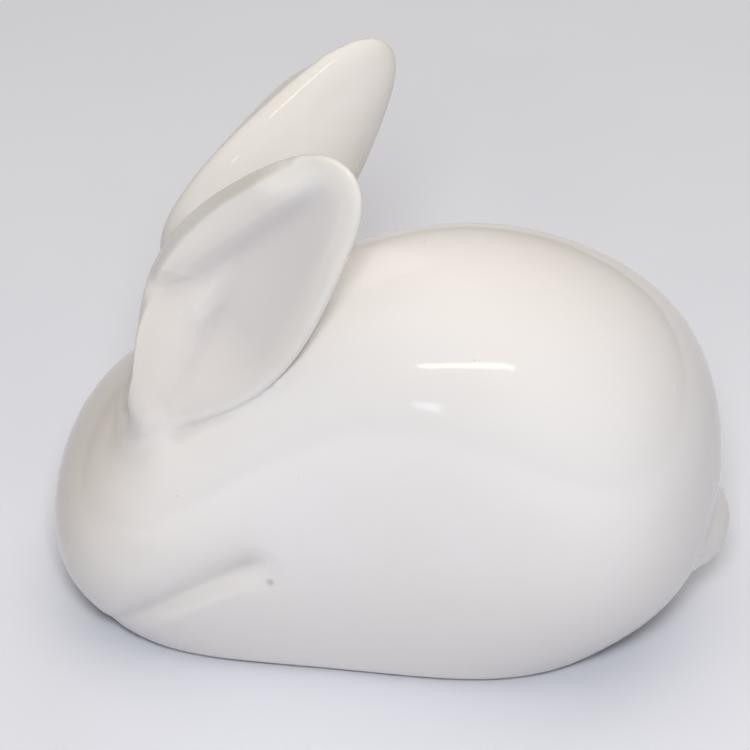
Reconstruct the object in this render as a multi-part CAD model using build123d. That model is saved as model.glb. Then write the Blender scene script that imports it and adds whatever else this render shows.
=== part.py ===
from build123d import *
from math import acos, cos, pi, radians, sin, sqrt, tan
import os

# A crouching rabbit ornament in glazed ceramic, in millimetres.
# The nose points to -X, the tail to +X and the ears up, along +Z.
# The origin is on the table, under the middle of the figure's length and width.
# The rabbit's own left side is at -Y.

# Overall sizes of the hollow body, which holds head, forelegs and haunches in one casting.
figure_length = 150.0
tail_reach = 2.5
body_height = 93.5
body_half_width = 39.0

# Cast wall, the bare foot set in under the glazed skin, and the vent for the kiln's air.
wall = 4.5
foot_height = 1.2
foot_set_in = 1.5
foot_width = 6.0
foot_recess = 0.8
vent_diameter = 10.0
vent_place = 6.0

# Ears and tail are stuck on with a thin layer of slip, the liquid clay.
slip_joint = 0.1

# Crease under each cheek, where the jaw turns in above the foreleg.
crease_length = 100.0
crease_breadth = 16.0
crease_thickness = 9.0
crease_depth = 1.4
crease_rise = 8.0
crease_slope = 37.0
crease_tilt = 25.0
crease_place_share = 0.26

# Ears: one petal and its mirror image, each a solid leaf with a hollow outer face.
ear_length = 90.0
ear_half_thickness = 3.2
ear_half_width = 18.0
ear_bowl = 4.7
ear_bow = 3.5
ear_sweep = 3.5
ear_sink = 6.0
ear_root_rise = 64.0
ear_root_share = 0.133
ear_lean = 31.5
ear_splay = 6.0
ear_turn = 30.0

# Tail: a small rounded nub.
tail_depth = 10.0
tail_half_width = 10.8
tail_half_height = 11.6
tail_height = 26.5

# A cutter reaches this far past the face that it cuts.
overrun = 2.0

# Each row of shares steers one smooth curve from the nose to the rump, or from
# an ear's root to its tip: the curve starts and ends at the row's end values.
girth_shares = (1.8, 0.95, 0.65, 0.8, 1.2, 1.65)
back_shares = (0.78, 0.7, 0.89, 1.18, 0.94, 1.18)
waist_shares = (0.24, 0.34, 0.18, 0.43, 0.47, 0.43)
squareness_shares = (0.1, 0.8, 0.0)
petal_shares = (0.42, 1.65, 0.65, 0.98)

body_section_count = 24
body_step_count = 14
ear_section_count = 14
ear_step_count = 14

body_front = -figure_length / 2
body_back = figure_length / 2 - tail_reach


def steered(shares, place):
    """A Bezier curve's value at a place from 0 to 1."""
    values = list(shares)
    while len(values) > 1:
        values = [low + (high - low) * place for low, high in zip(values, values[1:])]
    return values[0]


def turns(count):
    """Even steps of a half turn, which crowd the sections towards both rounded ends."""
    return [pi * step / count for step in range(1, count)]


def closed_wire(first, second, heading):
    """A smooth closed outline of two curves, which leaves the first point along a heading."""
    edges = []
    for points, start in ((first, heading), (second, -heading)):
        steps = [step / (len(points) - 1) for step in range(len(points))]
        edges.append(Edge.make_spline(points, tangents=[start, -start], parameters=steps))
    return Wire(edges)


def skin_point(turn, angle, inset):
    """A point of the right side: turn runs from 0 (nose) to pi (rump), and angle from the
    lowest point of the section, at -pi / 2, to its highest, at pi / 2."""
    place = (1 - cos(turn)) / 2
    x = body_front + inset + (body_back - body_front - 2 * inset) * place
    half_width = body_half_width * steered(girth_shares, place) - inset
    middle = body_height * steered(waist_shares, place)
    rise = body_height * steered(back_shares, place) - middle - inset
    corner = steered(squareness_shares, place) * (cos(angle) * sin(angle)) ** 2
    reach = sin(turn) * sqrt(2 / (1 + sqrt(1 - 4 * corner * sin(turn) ** 2)))
    return Vector(x, half_width * reach * cos(angle), middle + rise * reach * sin(angle))


def body_section(turn, inset):
    """The body's outline across its length, up its right side and down its left."""
    angles = [pi * step / body_step_count - pi / 2 for step in range(body_step_count + 1)]
    right = [skin_point(turn, angle, inset) for angle in angles]
    left = [Vector(point.X, -point.Y, point.Z) for point in reversed(right)]
    return closed_wire(right, left, Vector(0, 1, 0))


def egg(inset):
    """The body's smooth form, whole below the table too, drawn in by an inset."""
    nose = Vertex(body_front + inset, 0, body_height * waist_shares[0])
    rump = Vertex(body_back - inset, 0, body_height * waist_shares[-1])
    sections = [body_section(turn, inset) for turn in turns(body_section_count)]
    return Part() + Solid.make_loft([nose] + sections + [rump])


def layer(low, high):
    """A block that holds everything between two heights."""
    side = 2 * figure_length
    return Pos(0, 0, (low + high) / 2) * Box(side, side, high - low)


def jaw_cutter():
    """The scoop that leaves the crease under the right cheek."""
    ball = scale(Sphere(1), by=(crease_length / 2, crease_thickness / 2, crease_breadth / 2))
    skin = skin_point(acos(1 - 2 * crease_place_share), radians(crease_rise), 0)
    clear = crease_thickness / 2 - crease_depth
    return Pos(skin) * Pos(0, clear, 0) * Rot(0, -crease_slope, 0) * Rot(-crease_tilt, 0, 0) * ball


def body():
    """The hollow casting, with a foot rim to stand on and a vent through its floor."""
    skin = egg(0) & layer(foot_height, 2 * body_height)
    foot = egg(foot_set_in) & layer(0, foot_height)
    floor = foot_recess + wall
    cavity = egg(wall) & layer(floor, 2 * body_height)
    recess = egg(foot_set_in + foot_width) & layer(-overrun, foot_recess)
    vent = Pos(vent_place, 0, floor / 2) * Cylinder(vent_diameter / 2, floor + 2 * overrun)
    jaw = jaw_cutter()
    return skin + foot - cavity - recess - vent - jaw - mirror(jaw, about=Plane.XZ)


def ear_axes():
    """Directions along, across and out of the leaf on the +Y side."""
    along = Vector(sin(radians(ear_lean)), tan(radians(ear_splay)), cos(radians(ear_lean))).normalized()
    facing = Vector(-sin(radians(ear_turn)), cos(radians(ear_turn)), 0)
    outward = (facing - along * facing.dot(along)).normalized()
    return along, outward.cross(along), outward


def ear_point(place, across, outward):
    """A point of the leaf, with the sweep and the bow of its long axis."""
    along_axis, across_axis, outward_axis = ear_axes()
    swept = across - ear_sweep * 4 * place * (1 - place)
    bowed = outward + ear_bow * (2 * place - 1) ** 2
    root = skin_point(acos(1 - 2 * ear_root_share), radians(ear_root_rise), ear_sink)
    return root + along_axis * (place * ear_length) + across_axis * swept + outward_axis * bowed


def ear_section(turn):
    """The leaf's outline across its length: its bowl from rim to rim, then its back."""
    place = (1 - cos(turn)) / 2
    half_width = ear_half_width * steered(petal_shares, place)
    faces = []
    for side in (1, -1):
        points = []
        for step in range(ear_step_count + 1):
            angle = pi * step / ear_step_count
            spread = cos(turn) ** 2 + (sin(turn) * cos(angle)) ** 2
            thickness = ear_half_thickness * sin(turn) * sin(angle) * sqrt(1 + spread + spread**2)
            across = side * half_width * sin(turn) * cos(angle)
            points.append(ear_point(place, across, side * thickness - ear_bowl * (1 - spread)))
        faces.append(points)
    return closed_wire(*faces, ear_axes()[2])


def leaf():
    """The whole leaf of the ear on the +Y side, before it is cut to the body."""
    root, tip = [Vertex(*ear_point(place, 0, 0)) for place in (0, 1)]
    sections = [ear_section(turn) for turn in turns(ear_section_count)]
    return Part() + Solid.make_loft([root] + sections + [tip])


def tail():
    """The nub on the rump, whole, before it is cut to the body."""
    ball = Rot(90, 0, 0) * Sphere(1)
    nub = scale(ball, by=(tail_depth, tail_half_width, tail_half_height))
    return Pos(figure_length / 2 - tail_depth, 0, tail_height) * nub


def stuck_on(piece):
    """A piece cut to the body's skin, with room for the slip."""
    return piece - egg(-slip_joint)


pieces = {
    "body": body(),
    "ear_left": stuck_on(mirror(leaf(), about=Plane.XZ)),
    "ear_right": stuck_on(leaf()),
    "tail": stuck_on(tail()),
}

os.makedirs("parts", exist_ok=True)
for name, piece in pieces.items():
    export_step(piece, f"parts/{name}.step")
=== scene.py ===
from math import cos, radians, sin, tan

import bpy
import numpy as np
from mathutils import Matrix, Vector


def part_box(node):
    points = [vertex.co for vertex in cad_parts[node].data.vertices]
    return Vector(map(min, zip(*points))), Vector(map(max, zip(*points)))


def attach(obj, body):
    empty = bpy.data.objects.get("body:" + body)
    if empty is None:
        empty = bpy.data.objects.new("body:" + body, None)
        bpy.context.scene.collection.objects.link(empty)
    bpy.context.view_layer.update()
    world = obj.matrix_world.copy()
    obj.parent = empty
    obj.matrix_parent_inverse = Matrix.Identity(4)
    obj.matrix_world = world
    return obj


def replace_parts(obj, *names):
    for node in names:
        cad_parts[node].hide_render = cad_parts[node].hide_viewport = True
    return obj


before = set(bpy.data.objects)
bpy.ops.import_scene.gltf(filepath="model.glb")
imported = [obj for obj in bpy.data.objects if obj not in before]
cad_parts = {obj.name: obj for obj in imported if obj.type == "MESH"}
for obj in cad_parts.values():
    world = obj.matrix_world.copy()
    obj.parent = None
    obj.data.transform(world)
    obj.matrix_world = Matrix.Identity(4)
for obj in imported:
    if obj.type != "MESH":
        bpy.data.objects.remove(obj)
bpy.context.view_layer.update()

import openvdb
from mathutils import Matrix, Vector

# A slip-cast rabbit ornament in glazed ceramic. Its form is worked out in millimetres
# and turned to metres when a mesh is made. The nose points to -X and the ears up, along +Z.
mm = 0.001

# Hollow body, which holds head, forelegs and haunches in one casting.
body_low, body_high = [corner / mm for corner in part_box("body")]
body_front = body_low.x
body_back = body_high.x
body_height = 93.5
body_half_width = 39.0
girth_shares = (1.8, 0.95, 0.65, 0.8, 1.2, 1.65)
back_shares = (0.78, 0.7, 0.89, 1.18, 0.94, 1.18)
waist_shares = (0.24, 0.34, 0.18, 0.43, 0.47, 0.43)
squareness_shares = (0.1, 0.8, 0.0)
squareness_limit = 1.5

# Cast wall, underside, bare foot ring and vent.
wall = 4.5
floor_height = 0.8
skirt_round = 2.2
foot_set_in = 1.5
foot_width = 6.0
foot_depth = 1.4
foot_round = 0.5
vent_radius = 5.0
vent_place = 6.0
vent_round = 0.6

# Ears, each a leaf with a hollow outer face. Low down, where it is flatter, the leaf stands out
# from the head, and its outline slides up its length and shifts to the front.
ear_length = 90.0
ear_half_thickness = 3.2
ear_half_width = 18.0
ear_bowl = 4.7
ear_bow = 3.5
ear_sweep = 3.5
ear_lean = 31.5
ear_splay = 6.0
ear_turn = 30.0
ear_stand = 5.6
ear_slide = 6.5
ear_shift = 1.3
ear_root = (-51.0, 13.7, 50.5)
petal_shares = (0.42, 1.65, 0.65, 0.98)
petal_softness = 0.002
beyond_share = 0.7
lower_leaf = (0.06, 0.45)
lower_flatness = 0.7
stand_start = (-0.05, 0.15)

# Modelled face of each ear: a column up its front half, a shelf above the column, and how far
# the back rim is rounded off, all fading out at the rim.
column_height = 2.2
shelf_height = 3.3
rim_drop = 0.4
rim_level = 0.78
rim_least = 0.4

# Lines on that face, in shares of the leaf: the column's back edge, its crest and the fold
# along the shelf's edge.
flank_place, flank_lean, flank_curl = 0.4, 1.5, 0.8
crest_place, crest_slope, crest_pivot = 0.38, 0.38, 0.53
fold_place, fold_lean, fold_turn, fold_low = 0.93, 0.85, 2.2, 0.42

# Soft steps on that face, each from its start to its end: out of the leaf in millimetres, then
# in shares of the leaf.
face_step = (-1.5, 1.0)
flank_step = (-0.32, 0.04)
crest_step = (-0.1, 0.08)
column_step = (-0.1, 0.06)
fold_step = (-0.2, 0.2)
shelf_top_step = (0.78, 0.95)
shelf_root_step = (0.2, 0.45)
rim_step = (0.7, 1.0)
rim_top_step = (0.25, 0.5)
rim_back_step = (0, 0.3)

# Where the glaze pools and shade is painted: in the bowl, which reaches nearer to the back rim,
# where pooled glaze and painted shade go together, and painted shade in the scoop of the crease,
# above its line, in millimetres.
bowl_step = (0.7, 0.98)
bowl_root_step = (-0.05, 0.15)
bowl_back_step = (-0.3, 0.5)
bowl_back_reach = 0.15
scoop_step = (0.5, 2.1)
scoop_line_step = (-0.8, 0.6)

# Round stem that carries each ear, with its ends as shares of the leaf's length.
stem_radius = 5.5
stem_ends = (-0.15, 0.25)
stem_start = 2.0
stem_lean = 30.0
stem_depth = 2.0

# Fillets of glaze where an ear grows out of the head, under its free back rim, along its stem
# and round the tail, and the groove that sets the free rim off from the neck.
ear_fillet = 8.0
rim_fillet = 2.0
stem_fillet = 4.0
tail_fillet = 2.5
groove_depth = 0.4
groove_reach = 2.5
groove_band = 4
free_back_step = (-0.6, 0.5)
free_root_step = (-0.15, 0.2)

# Tail nub.
tail_depth = 10.0
tail_half_width = 10.8
tail_half_height = 11.6
tail_height = 26.5
tail_middle = 65.0

# Grid steps of the polygons, cells along a block of the grid, how near to the skin a block is
# worked out in full, cells that the grid holds on each side of the skin, and its corners.
figure_cell = 1.0
foot_cell = 0.45
block = 12
block_reach = 1.2
band = 3
grid_low = (-78, -42, -1)
figure_grid_high = (78, 42, 131)
foot_grid_high = (78, 42, 3)

# Small step that slopes are measured with, the least slope, squared slope and squared gap that
# are divided by, and a number that keeps a square root's slope from being endless.
probe = 0.05
least_slope = 0.001
least_square = 0.05
least_gap = 0.01
tiny = 0.0001

# Steps that bring a point onto the skin.
settle_steps = 2

# How sharply the skin may be bent, per millimetre, and the rounds that even it out.
bend_limits = (-0.16, 0.5)
bend_passes = 14


def steered(shares, place):
    """A Bezier curve's value at a place from 0 to 1."""
    values = list(shares)
    while len(values) > 1:
        values = [low + (high - low) * place for low, high in zip(values, values[1:])]
    return values[0]


def eased(value, start, end):
    """0 before start, 1 after end, and smooth between them."""
    share = np.clip((value - start) / (end - start), 0, 1)
    return share * share * (3 - 2 * share)


def near(distance, reach):
    """1 on a line and 0 a reach away from it, rounded at both."""
    share = np.clip(1 - (distance / reach) ** 2, 0, 1)
    return share * share


def joined(first, second, blend):
    """The nearer of two distances, with a fillet where they meet."""
    overlap = np.maximum(blend - np.abs(first - second), 0)
    return np.minimum(first, second) - overlap**2 / (4 * blend)


def cut_by(first, second, blend):
    """What two forms share, with a rounded edge where they meet."""
    return -joined(-first, -second, blend)


def distance_to(form, x, y, z):
    """Distance in millimetres to a form that is 1 on its skin and grows outward."""
    slopes = []
    for step in np.eye(3) * probe:
        ahead = form(x + step[0], y + step[1], z + step[2])
        behind = form(x - step[0], y - step[1], z - step[2])
        slopes.append((ahead - behind) / (2 * probe))
    slope = np.sqrt(sum(part**2 for part in slopes))
    return (form(x, y, z) - 1) / np.maximum(slope, least_slope)


def egg_form(inset):
    """The body's smooth form, drawn in by an inset."""

    def form(x, y, z):
        place = (x - body_front - inset) / (body_back - body_front - 2 * inset)
        half_width = body_half_width * steered(girth_shares, place) - inset
        middle = body_height * steered(waist_shares, place)
        rise = body_height * steered(back_shares, place) - middle - inset
        across = (y / half_width) ** 2
        up = ((z - middle) / rise) ** 2
        corner = steered(squareness_shares, place) * np.minimum(across, squareness_limit)
        corner = corner * np.minimum(up, squareness_limit)
        return np.sqrt(np.maximum((2 * place - 1) ** 2 + across + up - corner, tiny))

    return form


def ear_axes():
    """Directions along, across and out of the leaf on the +Y side."""
    along = np.array([sin(radians(ear_lean)), tan(radians(ear_splay)), cos(radians(ear_lean))])
    along /= np.linalg.norm(along)
    outward = np.array([-sin(radians(ear_turn)), cos(radians(ear_turn)), 0.0])
    outward -= along * (outward @ along)
    outward /= np.linalg.norm(outward)
    return along, np.cross(outward, along), outward


def leaf_half_width(share):
    """Half the leaf's width at a share along it, which stays as it is past the leaf's ends."""
    held = np.clip((share + np.sqrt(share**2 + petal_softness)) / 2, 0, 1)
    return ear_half_width * steered(petal_shares, held)


def leaf_place(x, y, z, side):
    """Share along the leaf, share across it from its front rim (-1) to its back rim (1),
    millimetres out of its middle surface, and how near its outline is, on the ear of one side.
    The lower leaf stands out from the head and is flatter than the upper."""
    offset = (x - ear_root[0], y * side - ear_root[1], z - ear_root[2])
    along, across, outward = [sum(o * a for o, a in zip(offset, axis)) for axis in ear_axes()]
    lower = 1 - eased(along / ear_length, *lower_leaf)
    share = (along - ear_slide * lower) / ear_length
    across = across - ear_shift * lower + ear_sweep * 4 * share * (1 - share)
    half_width = leaf_half_width(share)
    spread = (2 * share - 1) ** 2 + (across / half_width) ** 2
    stand = ear_stand * lower * eased(along / ear_length, *stand_start)
    outward = outward - stand - ear_bow * (2 * share - 1) ** 2
    outward = outward + ear_bowl * (1 - lower_flatness * lower) * (1 - spread)
    return share, across / half_width, outward, spread


def beyond_ear(x, y, z, side):
    """Distance to the straight-sided block that holds one ear, 0 within it."""
    share, across, _, _ = leaf_place(x, y, z, side)
    past_end = np.maximum(np.abs(share - 0.5) - 0.5, 0) * ear_length
    return np.hypot(past_end, np.maximum(np.abs(across) - 1, 0) * leaf_half_width(share))


def ear_form(side):
    """The plain leaf, before its face is modelled."""

    def form(x, y, z):
        share, across, outward, spread = leaf_place(x, y, z, side)
        return np.sqrt((outward / ear_half_thickness) ** 2 + spread**3 + tiny)

    return form


def tail_form(x, y, z):
    """The nub on the rump."""
    along = (x - tail_middle) / tail_depth
    up = (z - tail_height) / tail_half_height
    return np.sqrt(along**2 + (y / tail_half_width) ** 2 + up**2 + tiny)


# Crease under each cheek: its line rises from the chin, and the cheek is scooped above it. The
# scoop starts and ends between the two X of a pair, and a dimple rounds its upper end.
crease_x = -50.5
crease_z = 14.2
crease_span = (-12, 40)
crease_rise = 0.8
crease_curl = 0.006
crease_square = 0.8
crease_depth = 2.5
cheek_reach = 10.0
lobe_reach = 4.0
scoop_start = (-62, -50)
scoop_end = (-32, -20)
dimple_x = -25
dimple_z = 29.5
dimple_depth = 0.7
dimple_reach = 7


def above_crease(x, z):
    """Millimetres above the crease's line, squarely across it."""
    past = np.clip(x - crease_x, *crease_span)
    return (z - crease_z - crease_rise * past + crease_curl * past**2) * crease_square


def crease(x, z):
    """Depth that the cheek's underside is scooped to, above the soft upper edge of the foreleg,
    with a shallow dimple round the crease's upper end."""
    above = above_crease(x, z)
    reach = np.where(above > 0, cheek_reach, lobe_reach)
    across = np.maximum(1 - (np.sqrt(above**2 + 0.5) - 0.7) / reach, 0)
    along = eased(x, *scoop_start) * (1 - eased(x, *scoop_end))
    end = dimple_depth * near(np.hypot(x - dimple_x, z - dimple_z), dimple_reach)
    return crease_depth * along * across**2 + end


def relief(x, y, z, side):
    """Millimetres that the ear's outer face stands out of the plain leaf. The flank is how far a
    point is behind the column, the crest how far above it, and the fold how far behind the
    shelf, as shares of the leaf."""
    share, across, outward, spread = leaf_place(x, y, z, side)
    facing = eased(outward, *face_step)
    edge = np.sqrt(np.clip(1 - (2 * share - 1) ** 2, rim_least, 1))
    level = 1 - eased(np.abs(across), rim_level * edge, edge)
    flank = across - flank_place + flank_lean * share - flank_curl * share**2
    crest = share - crest_slope * (across + crest_pivot) - crest_place
    column = column_height * (1 - eased(flank, *flank_step)) * (1 - eased(crest, *crest_step))
    column = column * eased(share, *column_step)
    fold = across + fold_place - fold_lean * share + fold_turn * np.maximum(fold_low - share, 0)
    shelf = shelf_height * (1 - eased(fold, *fold_step)) * (1 - eased(share, *shelf_top_step))
    shelf = shelf * eased(share, *shelf_root_step)
    drop = rim_drop * eased(np.sqrt(spread), *rim_step) * (1 - eased(share, *rim_top_step))
    drop = drop * eased(across, *rim_back_step)
    return facing * (level * np.maximum(column, shelf) - drop)


def pooled_glaze_and_shade(x, y, z):
    """1 on the ears' hollow faces, where the glaze pools while it melts and painted shade greys
    them, and in the creases under the cheeks, where painted shade darkens the cheek's underside,
    and 0 elsewhere."""
    side = np.where(y < 0, -1, 1)
    share, across, outward, spread = leaf_place(x, y, z, side)
    rim = np.sqrt(spread) - bowl_back_reach * eased(across, *bowl_back_step)
    bowl = (1 - eased(rim, *bowl_step)) * eased(outward, *face_step)
    scoop = eased(crease(x, z), *scoop_step) * eased(above_crease(x, z), *scoop_line_step)
    return np.maximum(bowl * eased(share, *bowl_root_step), scoop)


def stem_distance(x, y, z, side):
    """Distance to the round stem that carries the leaf's front half out of the head."""
    share, across, outward, _ = leaf_place(x, y, z, side)
    place = np.clip(share, *stem_ends)
    past_end = (share - place) * ear_length
    aside = across * leaf_half_width(share) - stem_start + stem_lean * place
    return np.sqrt(past_end**2 + aside**2 + (outward + stem_depth) ** 2) - stem_radius


def ear_distance(x, y, z, side):
    """Distance to one ear with its modelled face. Past the leaf's ends it is measured from the
    block that holds the leaf, and kept short there, so that it never says too much."""
    leaf = distance_to(ear_form(side), x, y, z)
    beyond = beyond_share * beyond_ear(x, y, z, side)
    leaf = np.where(beyond > 0, np.maximum(leaf, beyond), leaf) - relief(x, y, z, side)
    return joined(leaf, stem_distance(x, y, z, side), stem_fillet)


def skin_distance(x, y, z):
    """Distance to the body's glazed skin, closed by a rounded skirt over the table."""
    skin = distance_to(egg_form(0), x, y, z) + crease(x, z)
    return cut_by(skin, floor_height - z, skirt_round)


def outer_distance(x, y, z):
    """Distance to the whole glazed figure, with fillets of glaze where ears and tail are stuck on.
    The ear's free rim stands clear of the neck, over a narrow groove."""
    side = np.where(y < 0, -1, 1)
    share, across, _, _ = leaf_place(x, y, z, side)
    free = eased(across, *free_back_step) * eased(share, *free_root_step)
    ear = ear_distance(x, y, z, side)
    skin = skin_distance(x, y, z)
    skin = skin + groove_depth * free * near(ear, groove_reach) * (np.abs(skin) < groove_band)
    figure = joined(skin, ear, ear_fillet + (rim_fillet - ear_fillet) * free)
    return joined(figure, distance_to(tail_form, x, y, z), tail_fillet)


def hollow_distance(x, y, z):
    """Distance to the space inside the cast wall, with the vent that opens it."""
    inside = distance_to(egg_form(wall), x, y, z)
    inside = np.maximum(inside, floor_height + wall - z)
    vent = np.maximum(np.hypot(x - vent_place, y) - vent_radius, z - floor_height - 2 * wall)
    return joined(inside, vent, vent_round)


def figure_distance(x, y, z):
    """Distance to the whole hollow casting."""
    return cut_by(outer_distance(x, y, z), -hollow_distance(x, y, z), vent_round)


def foot_distance(x, y, z):
    """Distance to the bare ring that the figure stands on, let into its underside."""
    inner = -distance_to(egg_form(foot_set_in + foot_width), x, y, z)
    ring = cut_by(distance_to(egg_form(foot_set_in), x, y, z), inner, foot_round)
    return cut_by(ring, np.abs(z - foot_depth / 2) - foot_depth / 2, foot_round)


def gradient(form, points):
    """A form's slope at each point."""
    parts = []
    for step in np.eye(3) * probe:
        parts.append(form(*(points + step).T) - form(*(points - step).T))
    return np.stack(parts, axis=1) / (2 * probe)


def sampled(form, low, high, cell):
    """A form's distances on a grid between two corners. Only the blocks near its skin are
    worked out in full."""
    lines = [np.arange(start, end, cell) for start, end in zip(low, high)]
    starts = [np.arange(0, len(line), block) for line in lines]
    centres = [line[0] + cell * (start + block / 2) for line, start in zip(lines, starts)]
    coarse = form(*np.meshgrid(*centres, indexing="ij"))
    values = np.empty([len(line) for line in lines], np.float32)
    for place in np.ndindex(coarse.shape):
        part = tuple(slice(start[n], start[n] + block) for start, n in zip(starts, place))
        values[part] = coarse[place]
        if abs(coarse[place]) < block_reach * block * cell:
            corner = [line[own] for line, own in zip(lines, part)]
            values[part] = form(*np.meshgrid(*corner, indexing="ij", sparse=True))
    return np.clip(values, -band * cell, band * cell)


def settled(form, points):
    """Points near a form's skin, moved onto it."""
    for _ in range(settle_steps):
        slope = gradient(form, points)
        square = np.maximum((slope**2).sum(1), least_square)
        points = points - slope * (form(*points.T) / square)[:, None]
    return points


def polygons(form, low, high, cell):
    """Points and quads of a form's skin between two corners, about a cell in size."""
    grid = openvdb.FloatGrid(band * cell)
    grid.copyFromArray(sampled(form, low, high, cell))
    points, quads = grid.convertToQuads(0.0)
    points = points.astype(float) * cell + np.array(low)
    return settled(form, points), quads


def bend_of(points, normals, faces):
    """How sharply a closed skin is bent at each point, per millimetre, evened out over its
    neighbours: over 0 on a rim, under 0 in a groove."""
    first, second = np.stack([faces, np.roll(faces, -1, axis=1)]).reshape(2, -1)
    gap = points[second] - points[first]
    square = (gap**2).sum(axis=1).clip(least_gap)
    turn = ((normals[second] - normals[first]) * gap).sum(axis=1) / square
    count = np.bincount(first, minlength=len(points))
    bend = np.bincount(first, turn.clip(*bend_limits), len(points)) / count
    for _ in range(bend_passes):
        bend = (bend + np.bincount(first, bend[second], len(points)) / count) / 2
    return bend


def finer(points, normals, bends, faces):
    """Some of the figure's quads split in four, with all points and their values. What the split
    adds is moved onto the skin, except along the open rim, where another piece goes on."""
    edges = np.sort(np.stack([faces, np.roll(faces, -1, axis=1)], axis=-1).reshape(-1, 2), axis=1)
    edges, place, uses = np.unique(edges, axis=0, return_inverse=True, return_counts=True)
    halves = len(points) + place.reshape(-1, 4)
    hearts = len(points) + len(edges) + np.arange(len(faces))
    added = np.concatenate([points[edges].mean(axis=1), points[faces].mean(axis=1)])
    free = np.append(uses > 1, np.ones(len(faces), bool))
    added[free] = settled(figure_distance, added[free])
    slopes = np.concatenate([normals[edges].mean(axis=1), normals[faces].mean(axis=1)])
    slopes[free] = gradient(figure_distance, added[free])
    slopes /= np.linalg.norm(slopes, axis=1)[:, None]
    values = np.concatenate([bends[edges].mean(axis=1), bends[faces].mean(axis=1)])
    corners = [[faces[:, n], halves[:, n], hearts, halves[:, n - 1]] for n in range(4)]
    quads = np.concatenate([np.stack(corner, axis=1) for corner in corners])
    points = np.append(points, added, axis=0)
    normals = np.append(normals, slopes, axis=0)
    return points, normals, np.append(bends, values), quads


def cap_of(faces, apex):
    """Triangles from the open rim of some quads to the point whose number is apex."""
    edges = np.stack([faces, np.roll(faces, -1, axis=1)], axis=-1).reshape(-1, 2)
    count = edges.max() + 1
    rim = edges[~np.isin(edges @ (count, 1), edges @ (1, count))]
    return np.column_stack([rim[:, ::-1], np.full(len(rim), apex)])


def new_piece(name, points, normals, bends, groups):
    """A smooth mesh piece, from millimetres, with how it is bent at each point. Each group is
    some faces and their material."""
    used = np.unique(np.concatenate([faces.ravel() for faces, _ in groups]))
    rows = [row for faces, _ in groups for row in np.searchsorted(used, faces).tolist()]
    mesh = bpy.data.meshes.new(name)
    mesh.from_pydata((points[used] * mm).tolist(), [], rows)
    slots = []
    for faces, material in groups:
        if material.name not in mesh.materials:
            mesh.materials.append(material)
        slots += [mesh.materials.find(material.name)] * len(faces)
    mesh.polygons.foreach_set("material_index", slots)
    mesh.polygons.foreach_set("use_smooth", [True] * len(rows))
    # Mask of pooled glaze and painted shade, kept at each point.
    pooled_and_shade = pooled_glaze_and_shade(*points[used].T)
    mesh.attributes.new("bend", "FLOAT", "POINT").data.foreach_set("value", bends[used])
    mesh.attributes.new("pooled_and_shade", "FLOAT", "POINT").data.foreach_set("value", pooled_and_shade)
    mesh.normals_split_custom_set_from_vertices(normals[used].tolist())
    piece = bpy.data.objects.new(name, mesh)
    bpy.context.scene.collection.objects.link(piece)
    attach(piece, "root")
    return piece


def linear(hex_colour):
    """An sRGB hex colour as linear values, with full alpha."""
    shares = [int(hex_colour[place : place + 2], 16) / 255 for place in (1, 3, 5)]
    values = [s / 12.92 if s <= 0.04045 else ((s + 0.055) / 1.055) ** 2.4 for s in shares]
    return (*values, 1.0)


def add_node(tree, kind, settings, links):
    """A node with its settings and the sockets that feed it, by the name or number of a socket."""
    node = tree.nodes.new(kind)
    for name, value in settings.items():
        if isinstance(name, int) or name in node.inputs:
            node.inputs[name].default_value = value
        else:
            setattr(node, name, value)
    for name, source in links.items():
        tree.links.new(source, node.inputs[name])
    return node


def new_material(name, settings):
    """A material with one shader, and a socket with the place in the object's own millimetres."""
    material = bpy.data.materials.new(name)
    material.use_nodes = True
    tree = material.node_tree
    shader = tree.nodes["Principled BSDF"]
    for socket, value in settings.items():
        shader.inputs[socket].default_value = value
    place = add_node(tree, "ShaderNodeTexCoord", {}, {}).outputs["Object"]
    settings = {"operation": "SCALE", "Scale": 1 / mm}
    place = add_node(tree, "ShaderNodeVectorMath", settings, {0: place}).outputs["Vector"]
    return material, tree, shader, place


# A range's ends, 1 and 2, are joined by a smooth step.
soft = {"interpolation_type": "SMOOTHSTEP"}

# Glaze: how wide its slow changes of thickness and the patches on thin rims are, how far apart
# specks lie, and how wide and high are the sagging of the melt and the fine ripples on it.
cloud_width = 45
patch_width = 11
speck_gap = 7
sag_width = 16
sag_height = 0.25
ripple_width = 2.2
ripple_height = 0.012

# Pinhole in the glaze, beside the crease of the left cheek, with the shade in its pit painted as a
# grey spot, from its soft rim to its middle.
pinhole = (-22.1, -34.5, 26.7)
pinhole_radii = (1.3, 0.2)

# Bare clay: how wide its stains are, and how wide and high its grains.
stain_width = 7
grain_width = 0.5
grain_height = 0.06

# Table top, in metres, and how wide its shading is, in millimetres.
table_side = 8
shade_width = 120


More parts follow.
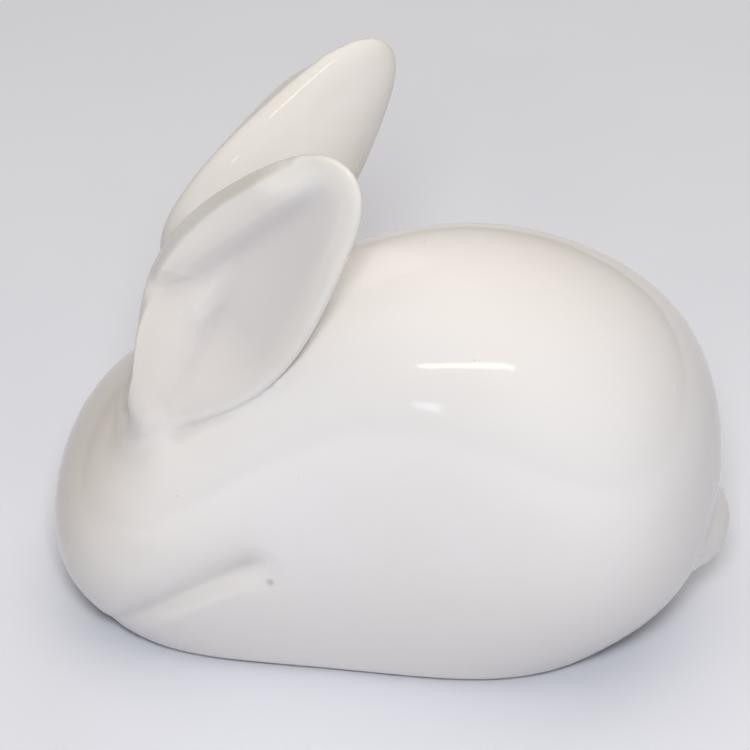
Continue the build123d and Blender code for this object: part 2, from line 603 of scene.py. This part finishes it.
def glaze():
    """Glossy white glaze: a clear glass coat fired over white earthenware. It pulls thin over
    rims, where the warm clay shows through, and pools in the ears' hollows. Painted shade greys
    those hollows, the grooves and creases, the front of the head and the figure towards the foot.
    Fine specks of iron show through it, and one pinhole has stayed open beside the crease, with
    its shade painted as a grey spot."""
    finish = {"Roughness": 0.07, "IOR": 1.52}
    material, tree, shader, place = new_material("glossy_white_glaze", finish)

    # Slow drift between a cooler and a warmer white.
    settings = {"Scale": 1 / cloud_width, "Detail": 2}
    cloud = add_node(tree, "ShaderNodeTexNoise", settings, {"Vector": place})
    cloud = add_node(tree, "ShaderNodeMapRange", {**soft, 1: 0.35, 2: 0.65}, {0: cloud.outputs[0]})
    settings = {"data_type": "RGBA", 6: linear("#EAE8E8"), 7: linear("#E9E6E4")}
    colour = add_node(tree, "ShaderNodeMix", settings, {0: cloud.outputs[0]}).outputs[2]

    # Pooled glaze and painted shade in the ears' bowls, and painted shade on the cheeks'
    # undersides in the creases.
    pooled_and_shade = add_node(tree, "ShaderNodeAttribute", {"attribute_name": "pooled_and_shade"}, {})
    settings = {"data_type": "RGBA", 7: linear("#DFDBD9")}
    links = {0: pooled_and_shade.outputs["Fac"], 6: colour}
    colour = add_node(tree, "ShaderNodeMix", settings, links).outputs[2]

    # Painted shade: grey in the narrow grooves, where the skin is bent inward.
    bend = add_node(tree, "ShaderNodeAttribute", {"attribute_name": "bend"}, {}).outputs["Fac"]
    groove = add_node(tree, "ShaderNodeMapRange", {**soft, 1: -0.015, 2: -0.14}, {0: bend})
    settings = {"data_type": "RGBA", 7: linear("#C6C0C1")}
    links = {0: groove.outputs[0], 6: colour}
    colour = add_node(tree, "ShaderNodeMix", settings, links).outputs[2]

    # Warm clay through the thin glaze on the rims, in patches.
    settings = {"Scale": 1 / patch_width, "Detail": 3}
    patch = add_node(tree, "ShaderNodeTexNoise", settings, {"Vector": place})
    patch = add_node(tree, "ShaderNodeMapRange", {**soft, 1: 0.2, 2: 0.6}, {0: patch.outputs[0]})
    thin = add_node(tree, "ShaderNodeMapRange", {**soft, 1: 0.05, 2: 0.4}, {0: bend})
    links = {0: thin.outputs[0], 1: patch.outputs[0]}
    thin = add_node(tree, "ShaderNodeMath", {"operation": "MULTIPLY"}, links)
    settings = {"data_type": "RGBA", 7: linear("#EBDFD6")}
    links = {0: thin.outputs[0], 6: colour}
    colour = add_node(tree, "ShaderNodeMix", settings, links).outputs[2]

    # The glaze is thinner and warmer high up. The front of the head is warmer, from thin glaze,
    # and darker with painted shade, and painted shade greys the figure low down.
    spot = add_node(tree, "ShaderNodeSeparateXYZ", {}, {0: place})
    high = add_node(tree, "ShaderNodeMapRange", {**soft, 1: 62, 2: 118}, {0: spot.outputs["Z"]})
    convex = add_node(tree, "ShaderNodeMapRange", {**soft, 1: -0.02, 2: 0.03}, {0: bend})
    links = {0: high.outputs[0], 1: convex.outputs[0]}
    high = add_node(tree, "ShaderNodeMath", {"operation": "MULTIPLY"}, links)
    # Share of the front of the head, warmed and darkened with painted shade.
    face = add_node(tree, "ShaderNodeMapRange", {**soft, 1: -36, 2: -76}, {0: spot.outputs["X"]})
    # Share of painted shade low down, towards the foot.
    low = add_node(tree, "ShaderNodeMapRange", {**soft, 1: 45, 2: 10}, {0: spot.outputs["Z"]})
    for share, hex_colour in ((high, "#EBE7E1"), (face, "#DED7CF"), (low, "#E1DEDD")):
        settings = {"data_type": "RGBA", 7: linear(hex_colour)}
        links = {0: share.outputs[0], 6: colour}
        colour = add_node(tree, "ShaderNodeMix", settings, links).outputs[2]

    # Specks in a few of the pattern's cells, picked by the cell's own number. A speck fades out
    # with the distance from the cell's point, as a share of the gap.
    speck = add_node(tree, "ShaderNodeTexVoronoi", {"Scale": 1 / speck_gap}, {"Vector": place})
    own = add_node(tree, "ShaderNodeSeparateColor", {}, {"Color": speck.outputs["Color"]})
    rare = add_node(tree, "ShaderNodeMapRange", {**soft, 1: 0.65, 2: 0.8}, {0: own.outputs["Red"]})
    links = {0: speck.outputs["Distance"]}
    dot = add_node(tree, "ShaderNodeMapRange", {**soft, 1: 0.035, 2: 0.01}, links)
    links = {0: dot.outputs[0], 1: rare.outputs[0]}
    dot = add_node(tree, "ShaderNodeMath", {"operation": "MULTIPLY"}, links)
    settings = {"data_type": "RGBA", 7: linear("#CBBCB1")}
    links = {0: dot.outputs[0], 6: colour}
    colour = add_node(tree, "ShaderNodeMix", settings, links).outputs[2]

    # The pinhole: the shade in its small pit, painted as a grey spot.
    settings = {"operation": "DISTANCE", 1: pinhole}
    pin = add_node(tree, "ShaderNodeVectorMath", settings, {0: place})
    settings = {**soft, 1: pinhole_radii[0], 2: pinhole_radii[1]}
    pit_shade = add_node(tree, "ShaderNodeMapRange", settings, {0: pin.outputs["Value"]})
    settings = {"data_type": "RGBA", 7: linear("#C6C3BF")}
    links = {0: pit_shade.outputs[0], 6: colour}
    colour = add_node(tree, "ShaderNodeMix", settings, links).outputs[2]
    tree.links.new(colour, shader.inputs["Base Color"])

    # Sagging and ripples of the melted glass.
    settings = {"Scale": 1 / sag_width, "Detail": 1}
    sag = add_node(tree, "ShaderNodeTexNoise", settings, {"Vector": place})
    settings = {"Scale": 1 / ripple_width, "Detail": 2}
    ripple = add_node(tree, "ShaderNodeTexNoise", settings, {"Vector": place})
    settings = {"Distance": sag_height * mm}
    bump = add_node(tree, "ShaderNodeBump", settings, {"Height": sag.outputs[0]})
    links = {"Height": ripple.outputs[0], "Normal": bump.outputs[0]}
    bump = add_node(tree, "ShaderNodeBump", {"Distance": ripple_height * mm}, links)
    tree.links.new(bump.outputs[0], shader.inputs["Normal"])
    return material


def bare_clay():
    """Unglazed white earthenware, wiped clean before the firing: matt, chalky and finely grained,
    and greyed where it has stood and been handled."""
    finish = {"Roughness": 0.85, "IOR": 1.5}
    material, tree, shader, place = new_material("bare_earthenware", finish)
    settings = {"Scale": 1 / stain_width, "Detail": 4}
    stain = add_node(tree, "ShaderNodeTexNoise", settings, {"Vector": place})
    stain = add_node(tree, "ShaderNodeMapRange", {**soft, 1: 0.45, 2: 0.75}, {0: stain.outputs[0]})
    settings = {"data_type": "RGBA", 6: linear("#E4DCCE"), 7: linear("#BDB2A2")}
    colour = add_node(tree, "ShaderNodeMix", settings, {0: stain.outputs[0]})
    tree.links.new(colour.outputs[2], shader.inputs["Base Color"])
    settings = {"Scale": 1 / grain_width, "Detail": 3}
    grain = add_node(tree, "ShaderNodeTexNoise", settings, {"Vector": place})
    settings = {"Distance": grain_height * mm}
    bump = add_node(tree, "ShaderNodeBump", settings, {"Height": grain.outputs[0]})
    tree.links.new(bump.outputs[0], shader.inputs["Normal"])
    return material


def table_top():
    """A smooth matt board with a pale cool paint."""
    material, tree, shader, place = new_material("matt_table_top", {"Roughness": 0.8})
    settings = {"Scale": 1 / shade_width, "Detail": 3}
    shade = add_node(tree, "ShaderNodeTexNoise", settings, {"Vector": place})
    shade = add_node(tree, "ShaderNodeMapRange", {**soft, 1: 0.3, 2: 0.7}, {0: shade.outputs[0]})
    settings = {"data_type": "RGBA", 6: linear("#E6E9F1"), 7: linear("#E3E6EF")}
    colour = add_node(tree, "ShaderNodeMix", settings, {0: shade.outputs[0]})
    tree.links.new(colour.outputs[2], shader.inputs["Base Color"])
    return material


def panel(name, place, along, sizes, power, hex_colour, mirrored):
    """A flat lamp at a place, which faces the figure, with its long side along a direction.
    The glaze mirrors it, or else it lights the scene and the glaze doesn't mirror it."""
    lamp = bpy.data.lights.new(name, "AREA")
    lamp.shape = "RECTANGLE"
    lamp.size, lamp.size_y = [size * mm for size in sizes]
    lamp.energy = power
    lamp.color = linear(hex_colour)[:3]
    back = (Vector(place) - Vector(lamp_aim)).normalized()
    side = (Vector(along) - back * back.dot(Vector(along))).normalized()
    turn = Matrix((side, back.cross(side), back)).transposed().to_4x4()
    holder = bpy.data.objects.new(name, lamp)
    holder.matrix_world = Matrix.Translation(Vector(place) * mm) @ turn
    holder.visible_glossy = mirrored
    holder.visible_diffuse = not mirrored
    bpy.context.scene.collection.objects.link(holder)


# Camera at the photograph's viewpoint: on the rabbit's left, looking 35 degrees down.
camera_place = (83.8, -690.1, 543.9)
camera_aim = (-3.57, -0.82, 59.45)
lens = bpy.data.cameras.new("camera")
lens.lens = 187.27
lens.sensor_width = 36.0
camera = bpy.data.objects.new("camera", lens)
camera.location = Vector(camera_place) * mm
view = Vector(camera_aim) - Vector(camera_place)
camera.rotation_euler = view.to_track_quat("-Z", "Y").to_euler()
bpy.context.scene.collection.objects.link(camera)
bpy.context.scene.camera = camera
bpy.context.scene.view_settings.view_transform = "Standard"

# The whole casting is one skin, and each of its pieces takes the part that is nearest to it.
# Under the glaze, a cone of clay closes each piece where it is stuck to the next.
glazed = glaze()
bare = bare_clay()
points, faces = polygons(figure_distance, grid_low, figure_grid_high, figure_cell)
normals = gradient(figure_distance, points)
normals /= np.linalg.norm(normals, axis=1)[:, None]
bends = bend_of(points, normals, faces)
middles = points[faces].mean(axis=1).T
inner = np.abs(hollow_distance(*middles)) < np.abs(outer_distance(*middles))
skin = skin_distance(*middles)
stuck_on = {
    "ear_left": (ear_distance(*middles, -1) < skin) & (middles[1] < 0),
    "ear_right": (ear_distance(*middles, 1) < skin) & (middles[1] > 0),
    "tail": (distance_to(tail_form, *middles) < skin) & (middles[0] > 0),
}
apexes = {
    "ear_left": (-40, -12, 46),
    "ear_right": (-40, 12, 46),
    "tail": (tail_middle, 0, tail_height),
}
body = ~inner
body_groups = []
for node, own in stuck_on.items():
    cap = cap_of(faces[own & ~inner], len(points))
    body_groups.append((cap[:, ::-1], bare))
    body &= ~own
    points = np.append(points, [apexes[node]], axis=0)
    normals = np.append(normals, [[0, 0, 1]], axis=0)
    bends = np.append(bends, 0)
    fine = finer(points, normals, bends, faces[own & ~inner])
    cap = cap_of(fine[3], len(points) - 1)
    piece = new_piece(f"glazed_{node}", *fine[:3], [(fine[3], glazed), (cap, bare)])
    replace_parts(piece, node)
body_groups += [(faces[body], glazed), (faces[inner], bare)]
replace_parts(new_piece("glazed_body", points, normals, bends, body_groups), "body")

points, faces = polygons(foot_distance, grid_low, foot_grid_high, foot_cell)
normals = gradient(foot_distance, points)
normals /= np.linalg.norm(normals, axis=1)[:, None]
new_piece("bare_foot_ring", points, normals, np.zeros(len(points)), [(faces, bare)])

bpy.ops.mesh.primitive_plane_add(size=table_side)
table = bpy.context.object
table.name = "table_top"
table.data.materials.append(table_top())

# Soft light: a dim room, and wide panels overhead, behind and above the camera, which the
# glaze doesn't mirror, and a long lamp and a small flash, which it does.
lamp_aim = (0, 0, 50)
world = bpy.data.worlds.new("room")
world.use_nodes = True
world.node_tree.nodes["Background"].inputs["Color"].default_value = linear("#F3E9DC")
world.node_tree.nodes["Background"].inputs["Strength"].default_value = 0.05
bpy.context.scene.world = world
panel("overhead", (0, 0, 1700), (1, 0, 0), (2000, 2000), 19, "#FFF8F0", False)
panel("fill", (300, 1200, 800), (1, 0, 0), (1200, 800), 3.5, "#FFF8F0", False)
panel("key", (90, -730, 735), (1, 0, 0), (200, 200), 5.9, "#FCFDFF", False)
panel("long_lamp", (-106, -726, 720), (537, 128, 243), (560, 55), 0.56, "#FFF0D8", True)
panel("flash", (-315, -958, 254), (1, 0, 0), (80, 70), 0.06, "#E6EEFF", True)
